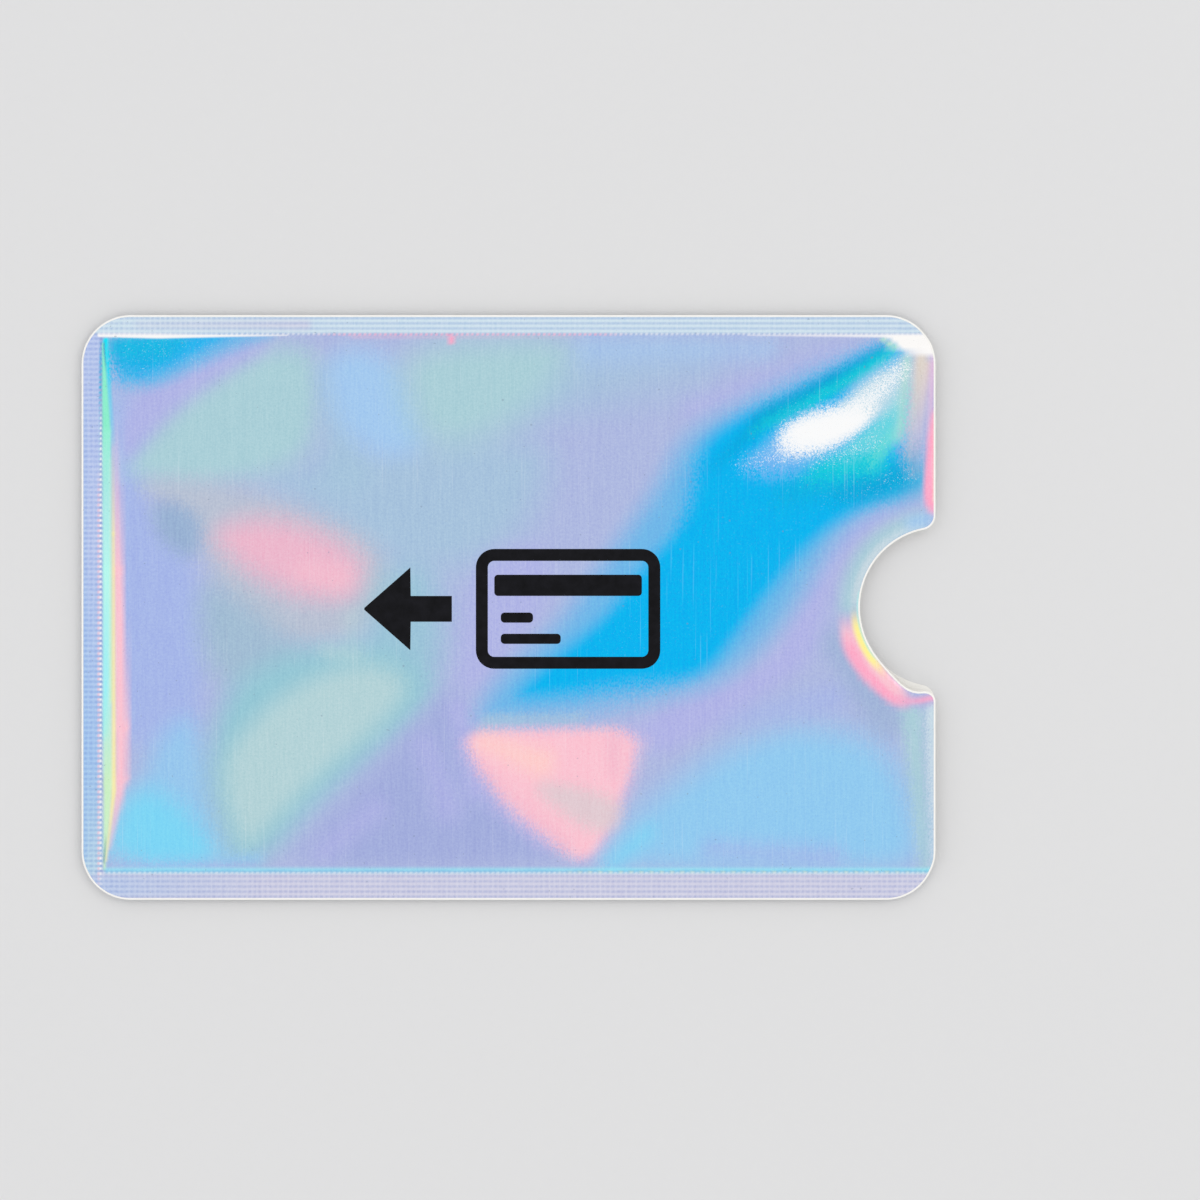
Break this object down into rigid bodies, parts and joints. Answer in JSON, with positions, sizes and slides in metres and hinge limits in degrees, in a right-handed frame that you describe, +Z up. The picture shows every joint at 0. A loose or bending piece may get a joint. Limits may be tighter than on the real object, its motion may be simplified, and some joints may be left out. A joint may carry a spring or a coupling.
{
  "type": "rfid card sleeve",
  "caption": "Flat laminated-film sleeve for a bank card, welded on its edges and open at one end, with a round thumb notch, a holographic outer film and a foil shield inside.",
  "frame": {"origin": "middle of the sleeve's outline, on the surface that the back panel rests on", "axes": "+X from the closed end towards the mouth, +Y across the sleeve towards the narrow top band, +Z up out of the printed front"},
  "size_m": [0.0926, 0.0636, 0.0015],
  "materials": {
    "holographic_film": "glossy polyester film with a holographic sheen",
    "black_ink": "black print with a satin surface",
    "shield_foil": "bright rolled foil",
    "white_liner": "milky white polyethylene",
    "fused_liner": "fused polyethylene, slightly translucent",
    "lamination_glue": "clear cured adhesive"
  },
  "bodies": {
    "root": {"front_print": "black_ink", "front_film": "holographic_film", "front_film_glue": "lamination_glue", "front_foil": "shield_foil", "front_liner_glue": "lamination_glue", "front_liner": "white_liner", "top_weld": "fused_liner", "bottom_weld": "fused_liner", "end_weld": "fused_liner", "back_liner": "white_liner", "back_liner_glue": "lamination_glue", "back_foil": "shield_foil", "back_film_glue": "lamination_glue", "back_film": "holographic_film"}
  },
  "joints": []
}
